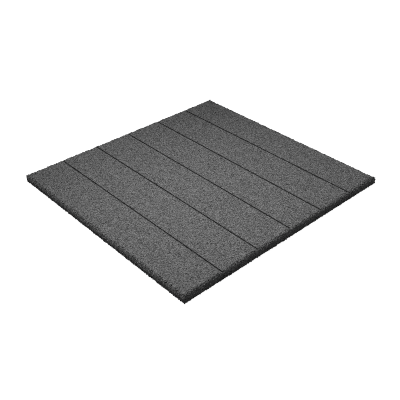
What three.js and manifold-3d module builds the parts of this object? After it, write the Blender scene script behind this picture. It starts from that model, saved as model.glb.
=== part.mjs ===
// Rubber paving tile: one slab hot-pressed from black rubber granules and binder.
// The walking face is divided into six planks by straight shallow grooves, all four upper edges are
// bevelled, and the underside is plain. Millimetres, +Z up. The origin is the centre of the underside,
// and the grooves run along Y.

import * as THREE from "three";
import { mergeVertices } from "three/addons/utils/BufferGeometryUtils.js";
import Module from "manifold-3d";

// The slab.
const TILE_WIDTH = 1000; // along X, across the planks
const TILE_LENGTH = 1000; // along Y, along the planks
const TILE_THICKNESS = 30;
const CORNER_RADIUS = 4; // of the four upright corners

// The bevel round the walking face.
const BEVEL_RUN = 11; // how far it reaches in from the side wall
const BEVEL_DROP = 9; // how far it comes down the side wall
const BEVEL_BLEND = 7; // radius that softens it into the wall and into the face

// The grooves between the planks.
const PLANK_COUNT = 6;
const GROOVE_MOUTH = 7; // width at the walking face
const GROOVE_FLOOR = 5; // width at the bottom
const GROOVE_DEPTH = 5;

// How finely the round stretches are faceted, and how far a cutter runs past the slab.
const ARC_STEPS = 6;
const CUTTER_OVERRUN = 10;

const RUBBER = new THREE.MeshStandardMaterial({ color: 0x3a3b3c, roughness: 0.95, metalness: 0 });

const wasm = await Module();
wasm.setup();

// A closed geometry as a solid that can be joined and cut.
function solid(geometry) {
  const bare = geometry.clone();
  bare.deleteAttribute("normal");
  bare.deleteAttribute("uv");
  const merged = mergeVertices(bare, 1e-4);
  return new wasm.Manifold(
    new wasm.Mesh({
      numProp: 3,
      vertProperties: merged.attributes.position.array,
      triVerts: new Uint32Array(merged.index.array),
    }),
  );
}

// A solid as a geometry, with flat faces.
function geometryOf(shape) {
  const mesh = shape.getMesh();
  const geometry = new THREE.BufferGeometry();
  geometry.setAttribute("position", new THREE.BufferAttribute(mesh.vertProperties, 3));
  geometry.setIndex(new THREE.BufferAttribute(mesh.triVerts, 1));
  const flat = geometry.toNonIndexed();
  flat.computeVertexNormals();
  return flat;
}

// The slab's outline seen from above: a rectangle with its corners rounded.
function outline() {
  const x = TILE_WIDTH / 2;
  const y = TILE_LENGTH / 2;
  const r = Math.min(CORNER_RADIUS, x, y);
  const shape = new THREE.Shape();
  shape.moveTo(-x + r, -y);
  shape.lineTo(x - r, -y);
  shape.absarc(x - r, -y + r, r, -Math.PI / 2, 0);
  shape.lineTo(x, y - r);
  shape.absarc(x - r, y - r, r, 0, Math.PI / 2);
  shape.lineTo(-x + r, y);
  shape.absarc(-x + r, y - r, r, Math.PI / 2, Math.PI);
  shape.lineTo(-x, -y + r);
  shape.absarc(-x + r, -y + r, r, Math.PI, 1.5 * Math.PI);
  return shape;
}

// What the bevel takes off one edge, in section. The wall is the line x = 0 with the slab at negative x,
// and y is the height over the underside. The sloping face meets the wall and the walking face in arcs.
function bevelSection() {
  const slope = Math.atan2(BEVEL_DROP, BEVEL_RUN);
  const wallTurn = Math.PI / 2 - slope;
  const tangents = Math.tan(wallTurn / 2) + Math.tan(slope / 2);
  const blend = Math.min(BEVEL_BLEND, Math.hypot(BEVEL_RUN, BEVEL_DROP) / tangents);
  const wallTangent = blend * Math.tan(wallTurn / 2);
  const faceTangent = blend * Math.tan(slope / 2);
  const section = new THREE.Shape();
  section.moveTo(CUTTER_OVERRUN, TILE_THICKNESS - BEVEL_DROP - wallTangent);
  section.lineTo(0, TILE_THICKNESS - BEVEL_DROP - wallTangent);
  section.absarc(-blend, TILE_THICKNESS - BEVEL_DROP - wallTangent, blend, 0, wallTurn);
  section.absarc(-BEVEL_RUN - faceTangent, TILE_THICKNESS - blend, blend, wallTurn, Math.PI / 2);
  section.lineTo(-BEVEL_RUN - faceTangent, TILE_THICKNESS + CUTTER_OVERRUN);
  section.lineTo(CUTTER_OVERRUN, TILE_THICKNESS + CUTTER_OVERRUN);
  return section;
}

// What a groove takes out of the walking face, in section, with its middle on x = 0.
function grooveSection() {
  const floor = TILE_THICKNESS - GROOVE_DEPTH;
  const section = new THREE.Shape();
  section.moveTo(-GROOVE_FLOOR / 2, floor);
  section.lineTo(GROOVE_FLOOR / 2, floor);
  section.lineTo(GROOVE_MOUTH / 2, TILE_THICKNESS);
  section.lineTo(GROOVE_MOUTH / 2, TILE_THICKNESS + CUTTER_OVERRUN);
  section.lineTo(-GROOVE_MOUTH / 2, TILE_THICKNESS + CUTTER_OVERRUN);
  section.lineTo(-GROOVE_MOUTH / 2, TILE_THICKNESS);
  return section;
}

// A section carried along Y for a length that is centred on the slab, with the section's y as height.
function cutterAlongY(section, length) {
  const geometry = new THREE.ExtrudeGeometry(section, {
    depth: length,
    bevelEnabled: false,
    curveSegments: ARC_STEPS,
  });
  geometry.rotateX(Math.PI / 2);
  geometry.translate(0, length / 2, 0);
  return geometry;
}

// The four bevel cutters, one for each side of the slab, each turned to face its side.
function bevelCutters() {
  const sides = [
    { turn: 0, reach: TILE_WIDTH / 2, span: TILE_LENGTH },
    { turn: Math.PI / 2, reach: TILE_LENGTH / 2, span: TILE_WIDTH },
    { turn: Math.PI, reach: TILE_WIDTH / 2, span: TILE_LENGTH },
    { turn: 1.5 * Math.PI, reach: TILE_LENGTH / 2, span: TILE_WIDTH },
  ];
  return sides.map(({ turn, reach, span }) => {
    const cutter = cutterAlongY(bevelSection(), span + 2 * CUTTER_OVERRUN);
    cutter.translate(reach, 0, 0);
    cutter.rotateZ(turn);
    return solid(cutter);
  });
}

// The groove cutters, one on each line between two planks.
function grooveCutters() {
  const plankPitch = TILE_WIDTH / PLANK_COUNT;
  return Array.from({ length: PLANK_COUNT - 1 }, (_, i) => {
    const cutter = cutterAlongY(grooveSection(), TILE_LENGTH + 2 * CUTTER_OVERRUN);
    cutter.translate((i + 1) * plankPitch - TILE_WIDTH / 2, 0, 0);
    return solid(cutter);
  });
}

// The whole tile: the slab with its bevels and grooves cut away.
function pavingTile() {
  const slab = new THREE.ExtrudeGeometry(outline(), {
    depth: TILE_THICKNESS,
    bevelEnabled: false,
    curveSegments: ARC_STEPS,
  });
  const cutters = [...bevelCutters(), ...grooveCutters()];
  const cut = cutters.reduce((shape, cutter) => shape.subtract(cutter), solid(slab));
  const mesh = new THREE.Mesh(geometryOf(cut), RUBBER);
  mesh.name = "paving_tile";
  return mesh;
}

const tile = new THREE.Group();
tile.add(pavingTile());

export default tile;
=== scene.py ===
import math

import bpy
import numpy as np
from mathutils import Euler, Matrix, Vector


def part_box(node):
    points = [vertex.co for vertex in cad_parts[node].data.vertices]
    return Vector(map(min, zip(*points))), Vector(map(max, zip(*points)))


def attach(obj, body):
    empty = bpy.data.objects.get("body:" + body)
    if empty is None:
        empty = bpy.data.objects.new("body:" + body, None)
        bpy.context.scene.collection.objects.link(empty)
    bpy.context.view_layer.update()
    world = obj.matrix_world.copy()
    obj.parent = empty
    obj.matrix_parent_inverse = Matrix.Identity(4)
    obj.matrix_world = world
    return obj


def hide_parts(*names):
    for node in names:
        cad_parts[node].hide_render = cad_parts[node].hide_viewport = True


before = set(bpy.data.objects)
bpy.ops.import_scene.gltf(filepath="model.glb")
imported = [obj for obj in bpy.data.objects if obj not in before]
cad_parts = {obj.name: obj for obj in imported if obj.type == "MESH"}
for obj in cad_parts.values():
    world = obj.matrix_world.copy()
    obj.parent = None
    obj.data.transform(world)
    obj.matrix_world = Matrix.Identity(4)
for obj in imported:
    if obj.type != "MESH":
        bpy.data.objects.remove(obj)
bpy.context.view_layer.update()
scene = bpy.context.scene

# The camera stands at the photograph's place, 1.4 m up and off the tile's near corner, and looks down
# at it. In the photograph the tile lies left of the lens's middle, so the picture is shifted by a tenth.

CAMERA_PLACE = (-1.3897, -1.6829, 1.4095)
CAMERA_HEADING = math.radians(46.192)  # from +X towards +Y
CAMERA_DIP = math.radians(34.517)  # below the horizon
CAMERA_ROLL = math.radians(-0.294)
SENSOR_WIDTH = 36.0
FOCAL_LENGTH = 57.52
SHIFT_RIGHT = -0.1003
SHIFT_UP = -0.0017

camera_data = bpy.data.cameras.new("camera")
camera_data.sensor_width = SENSOR_WIDTH
camera_data.lens = FOCAL_LENGTH
camera_data.shift_x = SHIFT_RIGHT
camera_data.shift_y = SHIFT_UP
camera = bpy.data.objects.new("camera", camera_data)
aim = Euler((math.pi / 2 - CAMERA_DIP, 0, CAMERA_HEADING - math.pi / 2)).to_matrix()
roll = Euler((0, 0, CAMERA_ROLL)).to_matrix()
camera.location = CAMERA_PLACE
camera.rotation_euler = (aim @ roll).to_euler()
scene.collection.objects.link(camera)
scene.camera = camera

# The studio: a plain pale floor that glows, as a lit table does, so that the dark tile throws hardly any
# shadow, two gridded softboxes high up behind the tile, and a pale room. From below the floor is clear,
# so that the underside can be looked at.

FLOOR_HALF = 20.0
FLOOR_DROP = 0.0003  # keeps the floor clear of the underside
FLOOR_COLOUR = (0.04, 0.04, 0.04, 1)
FLOOR_GLOW_COLOUR = (1, 1, 1, 1)
FLOOR_GLOW = 0.98
SOFTBOX_DISTANCE = 2.6
SOFTBOX_HEADING = math.radians(95)  # from +X towards +Y
SOFTBOX_RISE = math.radians(60)  # above the horizon
SOFTBOX_SIZE = 1.2
SOFTBOX_SPREAD = math.radians(50)
MAIN_AIM = (-0.13, -0.24)
MAIN_POWER = 28.8
SIDE_AIM = (0.45, -0.60)
SIDE_POWER = 7.5
ROOM_COLOUR = (0.97, 0.985, 1.0, 1)
ROOM_LIGHT = 0.60
ROOM_SEEN = 0.98  # as the camera sees it, so that floor and room run into one another
PIXEL_FILTER = 1.0  # narrow, and no denoising, so that the fine grain of the granules stays crisp

floor_mesh = bpy.data.meshes.new("studio_floor")
floor_mesh.from_pydata(
    [
        (-FLOOR_HALF, -FLOOR_HALF, -FLOOR_DROP),
        (FLOOR_HALF, -FLOOR_HALF, -FLOOR_DROP),
        (FLOOR_HALF, FLOOR_HALF, -FLOOR_DROP),
        (-FLOOR_HALF, FLOOR_HALF, -FLOOR_DROP),
    ],
    [],
    [(0, 1, 2, 3)],
)
floor = bpy.data.objects.new("studio_floor", floor_mesh)
scene.collection.objects.link(floor)
floor_paint = bpy.data.materials.new("pale_floor")
floor_paint.use_nodes = True
floor_shader = floor_paint.node_tree.nodes["Principled BSDF"]
floor_shader.inputs["Base Color"].default_value = FLOOR_COLOUR
floor_shader.inputs["Roughness"].default_value = 1.0
floor_shader.inputs["Specular IOR Level"].default_value = 0.0
floor_shader.inputs["Emission Color"].default_value = FLOOR_GLOW_COLOUR
floor_shader.inputs["Emission Strength"].default_value = FLOOR_GLOW
floor_paint.cycles.emission_sampling = "NONE"  # no seam of light between the floor's two halves
floor_nodes = floor_paint.node_tree.nodes
floor_links = floor_paint.node_tree.links
floor_side = floor_nodes.new("ShaderNodeNewGeometry")
clear_below = floor_nodes.new("ShaderNodeBsdfTransparent")
one_sided = floor_nodes.new("ShaderNodeMixShader")
floor_links.new(floor_side.outputs["Backfacing"], one_sided.inputs["Fac"])
floor_links.new(floor_shader.outputs["BSDF"], one_sided.inputs[1])
floor_links.new(clear_below.outputs["BSDF"], one_sided.inputs[2])
floor_links.new(one_sided.outputs["Shader"], floor_nodes["Material Output"].inputs["Surface"])
floor_mesh.materials.append(floor_paint)

for name, aim_x, aim_y, power in [
    ("main_softbox", *MAIN_AIM, MAIN_POWER),
    ("side_softbox", *SIDE_AIM, SIDE_POWER),
]:
    softbox_data = bpy.data.lights.new(name, "AREA")
    softbox_data.shape = "SQUARE"
    softbox_data.size = SOFTBOX_SIZE
    softbox_data.spread = SOFTBOX_SPREAD
    softbox_data.energy = power
    softbox = bpy.data.objects.new(name, softbox_data)
    softbox.location = (
        aim_x + SOFTBOX_DISTANCE * math.cos(SOFTBOX_RISE) * math.cos(SOFTBOX_HEADING),
        aim_y + SOFTBOX_DISTANCE * math.cos(SOFTBOX_RISE) * math.sin(SOFTBOX_HEADING),
        SOFTBOX_DISTANCE * math.sin(SOFTBOX_RISE),
    )
    softbox.rotation_euler = (SOFTBOX_RISE - math.pi / 2, 0, SOFTBOX_HEADING - math.pi / 2)
    softbox.visible_camera = False
    scene.collection.objects.link(softbox)

room = bpy.data.worlds.new("pale_room")
room.use_nodes = True
room_shader = room.node_tree.nodes["Background"]
room_shader.inputs["Color"].default_value = ROOM_COLOUR
seen_directly = room.node_tree.nodes.new("ShaderNodeLightPath")
room_strength = room.node_tree.nodes.new("ShaderNodeMapRange")
room_strength.inputs["To Min"].default_value = ROOM_LIGHT
room_strength.inputs["To Max"].default_value = ROOM_SEEN
room.node_tree.links.new(seen_directly.outputs["Is Camera Ray"], room_strength.inputs["Value"])
room.node_tree.links.new(room_strength.outputs["Result"], room_shader.inputs["Strength"])
scene.world = room

scene.view_settings.view_transform = "Standard"
scene.cycles.use_denoising = False
scene.cycles.filter_width = PIXEL_FILTER

# The steel mould that the tile is hot-pressed in gives every granule its outer limit: a flat face with
# five ribs that press the grooves, a slope all round for the bevel, and four walls with round corners.

box_low, box_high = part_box("paving_tile")
HALF_WIDTH = (box_high.x - box_low.x) / 2
HALF_LENGTH = (box_high.y - box_low.y) / 2
THICKNESS = box_high.z - box_low.z
CORNER_RADIUS = 0.004
BEVEL_RUN = 0.011
BEVEL_DROP = 0.009
BEVEL_BLEND = 0.013  # radius that softens the bevel into the wall and into the face
PLANK_COUNT = 6
GROOVE_MOUTH = 0.007
GROOVE_FLOOR = 0.005
GROOVE_DEPTH = 0.005
PLANK_PITCH = 2 * HALF_WIDTH / PLANK_COUNT
ARC_POINTS = 9
SHORTEST = 1e-9  # keeps a division clear of zero


def bevel_profile():
    """The mould's section at the edge as distances in from the side wall and heights, both rising: an arc
    that leaves the wall, a straight slope, and an arc that meets the flat face."""
    slope = math.atan2(BEVEL_DROP, BEVEL_RUN)
    wall_turn = math.pi / 2 - slope
    wall_tangent = BEVEL_BLEND * math.tan(wall_turn / 2)
    face_tangent = BEVEL_BLEND * math.tan(slope / 2)
    low_arc = np.linspace(0, wall_turn, ARC_POINTS)
    high_arc = np.linspace(wall_turn, math.pi / 2, ARC_POINTS)
    insets = np.concatenate(
        [
            BEVEL_BLEND * (1 - np.cos(low_arc)),
            BEVEL_RUN + face_tangent - BEVEL_BLEND * np.cos(high_arc),
        ]
    )
    heights = np.concatenate(
        [
            THICKNESS - BEVEL_DROP - wall_tangent + BEVEL_BLEND * np.sin(low_arc),
            THICKNESS - BEVEL_BLEND * (1 - np.sin(high_arc)),
        ]
    )
    return insets, heights


def bevel_height(inset):
    """Height of the mould's face at a distance in from the side wall, straight between the profile's
    points."""
    return np.interp(inset, *bevel_profile())


def bevel_inset(height):
    """Distance in from the side wall at which the mould's face has a height: the profile read the other
    way."""
    insets, heights = bevel_profile()
    return np.interp(height, heights, insets)


def face_height(x, y):
    """Height of the mould's face without its ribs: the lower of the bevel heights across and along."""
    return np.minimum(bevel_height(HALF_WIDTH - np.abs(x)), bevel_height(HALF_LENGTH - np.abs(y)))


def groove_line(x):
    """The middle of the groove that lies nearest to x."""
    step = np.clip(np.round((x + HALF_WIDTH) / PLANK_PITCH), 1, PLANK_COUNT - 1)
    return step * PLANK_PITCH - HALF_WIDTH


def rib_depth(x):
    """How deep the mould's rib reaches at x: its full depth over the groove's floor, nothing past its
    mouth, and straight in between."""
    offset = np.abs(x - groove_line(x))
    return GROOVE_DEPTH * np.clip(
        (GROOVE_MOUTH / 2 - offset) / ((GROOVE_MOUTH - GROOVE_FLOOR) / 2), 0, 1
    )


def hold_in_walls(x, y, reach):
    """Points moved back inside the mould's side walls, which stand out by reach: first to the flat walls,
    then to the round corners, along the line to the corner's axis."""
    x = np.clip(x, -HALF_WIDTH - reach, HALF_WIDTH + reach)
    y = np.clip(y, -HALF_LENGTH - reach, HALF_LENGTH + reach)
    u = np.abs(x) - (HALF_WIDTH - CORNER_RADIUS)
    v = np.abs(y) - (HALF_LENGTH - CORNER_RADIUS)
    out = np.hypot(u, v)
    limit = CORNER_RADIUS + reach
    past = (u > 0) & (v > 0) & (out > limit)
    back = np.where(past, limit / np.maximum(out, SHORTEST), 1.0)
    x = np.where(past, np.sign(x) * (HALF_WIDTH - CORNER_RADIUS + u * back), x)
    y = np.where(past, np.sign(y) * (HALF_LENGTH - CORNER_RADIUS + v * back), y)
    return x, y


def new_piece(name, points, faces):
    """A mesh object with the given corner points and faces, flat shaded, at the origin."""
    mesh = bpy.data.meshes.new(name)
    mesh.from_pydata(points, [], faces)
    mesh.validate()
    piece = bpy.data.objects.new(name, mesh)
    scene.collection.objects.link(piece)
    return piece


# The body of the tile is the mass of ground tyre rubber and binder under the surface, seen as the dark
# bottom of the pits and as the plain underside. Its colour is kept darker than the granules' as painted
# shade at the bottom of the pits. It lies a little deeper than the mould's face all over.

EDGE_LINES = np.array([0.0, 0.001, 0.0025, 0.005, 0.009, 0.0125, 0.016])
BODY_STEP = 0.006
WALL_RINGS = 5
BODY_PIT = 0.0016  # how deep the body lies behind the mould's face
BODY_ROUGHNESS = 0.0006  # how much that depth goes up and down
BODY_SEED = 11
# the body's colour range, darker than the granules': painted shade in the pits, also used on the underside
PIT_SHADE_DARK = 0.003
PIT_SHADE_LIGHT = 0.012
PIT_SPECULAR = 0.3
PIT_ROUGHNESS = 0.6
ROUGHNESS_SWING = 0.1
CLOUD_SCALE = 420
CLOUD_DETAIL = 3
CLOUD_SHARE = 0.5
DARKEST_AT = 0.2
GRAIN_SCALE = 1600
GRAIN_DETAIL = 4
GRAIN_STRENGTH = 0.6
GRAIN_HEIGHT = 0.0003


def across_lines():
    """Grid lines across the tile: the bevel's lines, closest where it turns, even steps on each plank, and
    the four lines of each groove."""
    rib = np.array([-GROOVE_MOUTH, -GROOVE_FLOOR, GROOVE_FLOOR, GROOVE_MOUTH]) / 2
    stops = [-HALF_WIDTH + EDGE_LINES]
    for plank in range(PLANK_COUNT):
        first_margin = EDGE_LINES[-1] if plank == 0 else GROOVE_MOUTH / 2
        last_margin = EDGE_LINES[-1] if plank == PLANK_COUNT - 1 else GROOVE_MOUTH / 2
        start = -HALF_WIDTH + plank * PLANK_PITCH + first_margin
        end = -HALF_WIDTH + (plank + 1) * PLANK_PITCH - last_margin
        count = int(round((end - start) / BODY_STEP))
        stops.append(np.linspace(start, end, count + 1)[1:-1])
        if plank < PLANK_COUNT - 1:
            stops.append(-HALF_WIDTH + (plank + 1) * PLANK_PITCH + rib)
    stops.append(HALF_WIDTH - EDGE_LINES[::-1])
    return np.concatenate(stops)


def along_lines():
    """Grid lines along the tile: the bevel's lines at both ends, and even steps between them."""
    start = -HALF_LENGTH + EDGE_LINES[-1]
    count = int(round(-2 * start / BODY_STEP))
    middle = np.linspace(start, -start, count + 1)[1:-1]
    return np.concatenate([-HALF_LENGTH + EDGE_LINES, middle, HALF_LENGTH - EDGE_LINES[::-1]])


def body_surface():
    """Top sheet: height of the mould's face or of the rib, whichever is lower, less a pit depth with a
    random part, on the grid of the lines across and along. Walls: the sheet's rim carried down in rings to
    the underside. Underside: one face."""
    rng = np.random.default_rng(BODY_SEED)
    x, y = np.meshgrid(across_lines(), along_lines(), indexing="ij")
    rows, columns = x.shape
    x, y = hold_in_walls(x, y, -BODY_PIT / 2)
    pit = BODY_PIT + BODY_ROUGHNESS * rng.uniform(-1, 1, x.shape)
    z = np.minimum(face_height(x, y), THICKNESS - rib_depth(x)) - pit
    sheet = np.stack([x, y, z], -1).reshape(-1, 3)
    index = np.arange(rows * columns).reshape(rows, columns)
    quads = np.stack([index[:-1, :-1], index[1:, :-1], index[1:, 1:], index[:-1, 1:]], -1)
    quads = quads.reshape(-1, 4)
    rim = np.concatenate([index[:-1, 0], index[-1, :-1], index[:0:-1, -1], index[0, :0:-1]])
    levels = np.linspace(1, 0, WALL_RINGS + 1)[1:]
    rings = []
    for level in levels:
        ring = sheet[rim].copy()
        give = 1 - BODY_ROUGHNESS * rng.uniform(0, 2, (len(rim), 1))
        ring[:, :2] *= give
        ring[:, 2] *= level
        rings.append(ring)
    points = np.concatenate([sheet, *rings])
    loops = [rim] + [len(sheet) + k * len(rim) + np.arange(len(rim)) for k in range(len(levels))]
    walls = []
    for upper, lower in zip(loops[:-1], loops[1:]):
        walls.append(np.stack([lower, np.roll(lower, -1), np.roll(upper, -1), upper], -1))
    faces = np.concatenate([quads, *walls]).tolist()
    faces.append(loops[-1][::-1].tolist())
    return points, faces


body_points, body_faces = body_surface()
body = new_piece("tile_body", body_points, body_faces)
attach(body, "root")
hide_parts("paving_tile")


def granulate_rubber(name, dark, light, specular, roughness):
    """Rubber from ground tyres: the tone runs from dark to light by a value that each granule carries and
    by a fine cloud, and a finer grain lifts the surface and moves its roughness up and down."""
    material = bpy.data.materials.new(name)
    material.use_nodes = True
    nodes = material.node_tree.nodes
    links = material.node_tree.links
    shader = nodes["Principled BSDF"]
    place = nodes.new("ShaderNodeTexCoord")
    own_tone = nodes.new("ShaderNodeAttribute")
    own_tone.attribute_name = "granule_tone"
    cloud = nodes.new("ShaderNodeTexNoise")
    cloud.inputs["Scale"].default_value = CLOUD_SCALE
    cloud.inputs["Detail"].default_value = CLOUD_DETAIL
    mixed = nodes.new("ShaderNodeMath")
    mixed.operation = "MULTIPLY_ADD"
    mixed.inputs[1].default_value = CLOUD_SHARE
    ramp = nodes.new("ShaderNodeValToRGB")
    ramp.color_ramp.elements[0].position = DARKEST_AT
    ramp.color_ramp.elements[0].color = (*dark, 1)
    ramp.color_ramp.elements[1].position = 1.0
    ramp.color_ramp.elements[1].color = (*light, 1)
    grain = nodes.new("ShaderNodeTexNoise")
    grain.inputs["Scale"].default_value = GRAIN_SCALE
    grain.inputs["Detail"].default_value = GRAIN_DETAIL
    gloss = nodes.new("ShaderNodeMapRange")
    gloss.inputs["To Min"].default_value = roughness - ROUGHNESS_SWING
    gloss.inputs["To Max"].default_value = roughness + ROUGHNESS_SWING
    shader.inputs["Specular IOR Level"].default_value = specular
    bump = nodes.new("ShaderNodeBump")
    bump.inputs["Strength"].default_value = GRAIN_STRENGTH
    bump.inputs["Distance"].default_value = GRAIN_HEIGHT
    links.new(place.outputs["Object"], cloud.inputs["Vector"])
    links.new(place.outputs["Object"], grain.inputs["Vector"])
    links.new(cloud.outputs["Fac"], mixed.inputs[0])
    links.new(own_tone.outputs["Fac"], mixed.inputs[2])
    links.new(mixed.outputs["Value"], ramp.inputs["Fac"])
    links.new(ramp.outputs["Color"], shader.inputs["Base Color"])
    links.new(grain.outputs["Fac"], gloss.inputs["Value"])
    links.new(gloss.outputs["Result"], shader.inputs["Roughness"])
    links.new(grain.outputs["Fac"], bump.inputs["Height"])
    links.new(bump.outputs["Normal"], shader.inputs["Normal"])
    return material


body.data.materials.append(
    granulate_rubber("rubber_with_painted_pit_shade", (PIT_SHADE_DARK,) * 3, (PIT_SHADE_LIGHT,) * 3, PIT_SPECULAR, PIT_ROUGHNESS)
)

# The granules at the walking face: splinters of ground tyre rubber, 3 to 5 mm long, glued by the binder
# and pressed flat where they touch the mould, with dark pits between. Each plank's granules are one
# piece of the scene.

GRANULE_PITCH = 0.0034
GRANULE_HALF_SIZES = (0.0013, 0.0027)
GRANULE_SKEW = 0.28
GRANULE_DEPTHS = (0.0004, 0.0022)  # of a granule's centre behind the mould
GRANULE_TILT = 0.07
FACE_GIVE = (-0.0006, 0.0001)  # how far a granule stays behind the mould's face or stands out of it
PROUD_LIMIT = 0.0007  # the most that a granule rises over the walking face
WAVE_LENGTHS = (0.009, 0.015, 0.026, 0.045, 0.075)
BEVEL_WAVE = 0.0010  # how much the bevel wavers in and out
BEVEL_WAVE_LIMITS = (-0.0006, 0.0030)
BEVEL_FULLNESS = 0.0010  # how much fuller the pressed bevel is than the mould's slope
CREST_BURR_SHARE = 0.05
CREST_BURR_REACH = 0.0045
CORNER_ZONE = 0.014
CORNER_FULLNESS = 0.006  # how much fuller the four upper corners are at their tips
FACE_MARGIN = 0.08  # round each face in the flat map, as a share of its width
GRANULE_SEED = 23
GRANULE_DARK = 0.012
GRANULE_LIGHT = 0.042
GRANULE_SPECULAR = 0.2
GRANULE_ROUGHNESS = 0.7

WEDGE_CORNERS = np.array(
    [(-1, -1, -0.7), (1, -1, -0.7), (0, -1, 1.1), (-1, 1, -0.7), (1, 1, -0.7), (0, 1, 1.1)]
)
WEDGE_SIDES = np.array([(0, 3, 4, 1), (1, 4, 5, 2), (2, 5, 3, 0)])
WEDGE_ENDS = np.array([(0, 1, 2), (3, 5, 4)])


def edge_wave(x, y):
    """How uneven the tile's edge is at the side that lies nearest: a sum of sine waves along it, one for
    each length, with an average swing of about one and other phases on each side."""
    near_x_side = HALF_WIDTH - np.abs(x) < HALF_LENGTH - np.abs(y)
    along = np.where(near_x_side, y, x)
    side = np.where(near_x_side, np.sign(x), 3 * np.sign(y))
    swing = math.sqrt(2 / len(WAVE_LENGTHS))
    waves = [
        np.sin(2 * math.pi * along / length + side * (k + 1)) for k, length in enumerate(WAVE_LENGTHS)
    ]
    return swing * np.sum(waves, 0)


def random_turns(rng, count):
    """Even random rotations, as matrices, from unit quaternions."""
    q = rng.normal(size=(count, 4))
    w, x, y, z = (q / np.linalg.norm(q, axis=1, keepdims=True)).T
    rows = [
        [1 - 2 * (y * y + z * z), 2 * (x * y - w * z), 2 * (x * z + w * y)],
        [2 * (x * y + w * z), 1 - 2 * (x * x + z * z), 2 * (y * z - w * x)],
        [2 * (x * z - w * y), 2 * (y * z + w * x), 1 - 2 * (x * x + y * y)],
    ]
    return np.moveaxis(np.array(rows), -1, 0)


def loose_granules(rng, centres):
    """Splinters round the centres: a wedge with its corners pulled about, of random sizes, turned at
    random."""
    count = len(centres)
    corners = WEDGE_CORNERS + GRANULE_SKEW * rng.uniform(-1, 1, (count, len(WEDGE_CORNERS), 3))
    sizes = rng.uniform(*GRANULE_HALF_SIZES, (count, 1, 3))
    turned = np.einsum("nij,nkj->nki", random_turns(rng, count), corners * sizes)
    return centres[:, None, :] + turned


def press_in_mould(rng, points, centres, proud):
    """Granules as the mould leaves them. Each has its own small limit, tilted at random and set off by
    proud: its corners are moved back inside the walls, off the rib's side, and down to the mould's face."""
    count = len(points)
    tilt = rng.normal(0, GRANULE_TILT, (count, 1, 2))
    arm = points[:, :, :2] - centres[:, None, :2]
    limit = proud[:, None] + (arm * tilt).sum(-1)
    x, y = hold_in_walls(points[..., 0], points[..., 1], limit)
    z = points[..., 2]
    line = groove_line(centres[:, :1])
    beside = np.abs(centres[:, :1] - line) > GROOVE_MOUTH / 2
    rise = np.clip((z - (THICKNESS - GROOVE_DEPTH)) / GROOVE_DEPTH, 0, 1)
    rib_half = (GROOVE_FLOOR + (GROOVE_MOUTH - GROOVE_FLOOR) * rise) / 2 - limit
    side = np.sign(centres[:, :1] - line)
    off = (x - line) * side
    pushed = beside & (z > THICKNESS - GROOVE_DEPTH) & (off < rib_half)
    x = np.where(pushed, line + side * rib_half, x)
    inner_x = np.clip(x, -HALF_WIDTH, HALF_WIDTH)
    inner_y = np.clip(y, -HALF_LENGTH, HALF_LENGTH)
    rib_z = np.where(beside, THICKNESS, THICKNESS - GROOVE_DEPTH)
    top = np.minimum(face_height(inner_x, inner_y), rib_z) + limit
    z = np.clip(z, 0.0, np.minimum(top, THICKNESS + PROUD_LIMIT))
    return np.stack([x, y, z], -1)


def lay_out_faces(mesh, count):
    """A flat map of the granules' faces: each granule has a square cell of its own, with its three sides
    in the cell's lower half and its two ends in the upper half, and a margin round each face."""
    cells = math.ceil(math.sqrt(count))
    cell = np.stack([np.arange(count) % cells, np.arange(count) // cells], -1)[:, None, None, :]
    low, high = FACE_MARGIN, 1 - FACE_MARGIN
    side_corners = np.array([(low, low), (low, high), (high, high), (high, low)]) / (3, 2)
    end_corners = np.array([(low, low), (high, low), (low, high)]) / (3, 2)
    side_places = side_corners + np.array([(0, 0), (1 / 3, 0), (2 / 3, 0)])[:, None, :]
    end_places = end_corners + np.array([(0, 0.5), (1 / 3, 0.5)])[:, None, :]
    spots = [(cell + side_places).reshape(-1, 2), (cell + end_places).reshape(-1, 2)]
    layout = mesh.uv_layers.new(name="OFBake")
    layout.data.foreach_set("uv", (np.concatenate(spots) / cells).astype(np.float32).ravel())


def granule_piece(name, points, tones, material):
    """Pressed granules as one piece, with a tone from 0 to 1 on each granule."""
    count = len(points)
    first = len(WEDGE_CORNERS) * np.arange(count)[:, None, None]
    sides = (WEDGE_SIDES + first).reshape(-1, 4).tolist()
    ends = (WEDGE_ENDS + first).reshape(-1, 3).tolist()
    piece = new_piece(name, points.reshape(-1, 3), sides + ends)
    tone = piece.data.attributes.new("granule_tone", "FLOAT", "FACE")
    side_tones = np.repeat(tones, len(WEDGE_SIDES))
    end_tones = np.repeat(tones, len(WEDGE_ENDS))
    face_tones = np.concatenate([side_tones, end_tones])
    tone.data.foreach_set("value", face_tones.astype(np.float32))
    lay_out_faces(piece.data, count)
    piece.data.materials.append(material)
    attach(piece, "root")
    return piece


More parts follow.
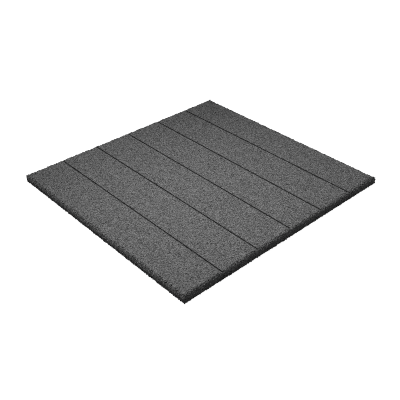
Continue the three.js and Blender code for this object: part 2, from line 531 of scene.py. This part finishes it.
granule_rubber = granulate_rubber(
    "pressed_granules", (GRANULE_DARK,) * 3, (GRANULE_LIGHT,) * 3, GRANULE_SPECULAR, GRANULE_ROUGHNESS
)
rng = np.random.default_rng(GRANULE_SEED)
rows_per_plank = int(round(PLANK_PITCH / GRANULE_PITCH))
granules_per_row = int(round(2 * HALF_LENGTH / GRANULE_PITCH))
for plank in range(PLANK_COUNT):
    i, j = np.meshgrid(np.arange(rows_per_plank), np.arange(granules_per_row), indexing="ij")
    i = i.ravel() + rng.uniform(0, 1, i.size)
    j = j.ravel() + rng.uniform(0, 1, j.size)
    centre_x = -HALF_WIDTH + PLANK_PITCH * (plank + i / rows_per_plank)
    centre_y = -HALF_LENGTH + 2 * HALF_LENGTH * j / granules_per_row
    in_groove_painted_shade = np.abs(centre_x - groove_line(centre_x)) < GROOVE_MOUTH / 2
    depth = rng.uniform(*GRANULE_DEPTHS, i.size)
    inset_x = HALF_WIDTH - np.abs(centre_x)
    inset_y = HALF_LENGTH - np.abs(centre_y)
    uneven = np.clip(BEVEL_FULLNESS + BEVEL_WAVE * edge_wave(centre_x, centre_y), *BEVEL_WAVE_LIMITS)
    burr = rng.uniform(0, 1, i.size) < CREST_BURR_SHARE
    uneven = np.where(burr, rng.uniform(0, CREST_BURR_REACH, i.size), uneven)
    corner = np.clip(1 - np.maximum(inset_x, inset_y) / CORNER_ZONE, 0, 1)
    uneven = uneven + CORNER_FULLNESS * corner
    proud = rng.uniform(*FACE_GIVE, i.size)
    proud = proud + np.where(np.minimum(inset_x, inset_y) < BEVEL_RUN, uneven, 0.0)
    mould_z = face_height(centre_x, centre_y) + np.maximum(proud, 0)
    mould_z = np.minimum(np.minimum(mould_z, THICKNESS), THICKNESS - rib_depth(centre_x))
    centres = np.stack([centre_x, centre_y, mould_z - depth], -1)
    points = press_in_mould(rng, loose_granules(rng, centres), centres, proud)
    # Granules in the grooves all get tone 0, the darkest: painted shade in the grooves.
    tones = np.where(in_groove_painted_shade, 0.0, rng.uniform(0, 1, i.size))
    granule_piece(f"granules_plank_{plank + 1}", points, tones, granule_rubber)

# The granules at the four side walls, of the same rubber but with tones only from the dark end of its
# range as painted shade on the walls, pressed against the mould's walls, with a few that stand out where
# the pressed edge was torn as the tile came out of the mould.

WALL_ROWS = 9
WALL_TOP_GAP = 0.006  # between the walking face and the highest wall granule
WALL_SEED = 37
# the highest own tone a wall granule gets, against 1 on the walking face: painted shade on the walls
WALL_SHADE_TONE = 0.15
WALL_GIVE = (-0.0005, 0.0002)  # how far a granule stays behind the mould's wall or stands out of it
BURR_SHARE = 0.12
BURR_SHARE_BELOW = 0.40
BURR_ZONE = 0.005
BURR_REACH = 0.0035
WALL_WAVE = 0.0011
WALL_WAVE_LIMITS = (-0.0004, 0.0025)

rng = np.random.default_rng(WALL_SEED)
wall_height = THICKNESS - WALL_TOP_GAP
per_wall = int(round(2 * HALF_LENGTH / GRANULE_PITCH))
side, i, j = np.meshgrid(np.arange(4), np.arange(WALL_ROWS), np.arange(per_wall), indexing="ij")
side = side.ravel()
along = -HALF_LENGTH + 2 * HALF_LENGTH * (j.ravel() + rng.uniform(0, 1, j.size)) / per_wall
up = wall_height * (i.ravel() + rng.uniform(0, 1, i.size)) / WALL_ROWS
burr = rng.uniform(0, 1, i.size) < np.where(up < BURR_ZONE, BURR_SHARE_BELOW, BURR_SHARE)
proud = np.where(burr, rng.uniform(0, BURR_REACH, i.size), rng.uniform(*WALL_GIVE, i.size))
normal_x = np.select([side == 0, side == 2], [1.0, -1.0], 0.0)
normal_y = np.select([side == 1, side == 3], [1.0, -1.0], 0.0)
wall_x = np.where(normal_x != 0, normal_x * HALF_WIDTH, along)
wall_y = np.where(normal_y != 0, normal_y * HALF_LENGTH, along)
proud = proud + np.clip(WALL_WAVE * edge_wave(wall_x, wall_y), *WALL_WAVE_LIMITS)
depth = bevel_inset(up) + rng.uniform(*GRANULE_DEPTHS, i.size) - np.maximum(proud, 0)
centre_x, centre_y = hold_in_walls(wall_x, wall_y, -depth)
centres = np.stack([centre_x, centre_y, up], -1)
points = press_in_mould(rng, loose_granules(rng, centres), centres, proud)
granule_piece("granules_sides", points, rng.uniform(0, WALL_SHADE_TONE, i.size), granule_rubber)
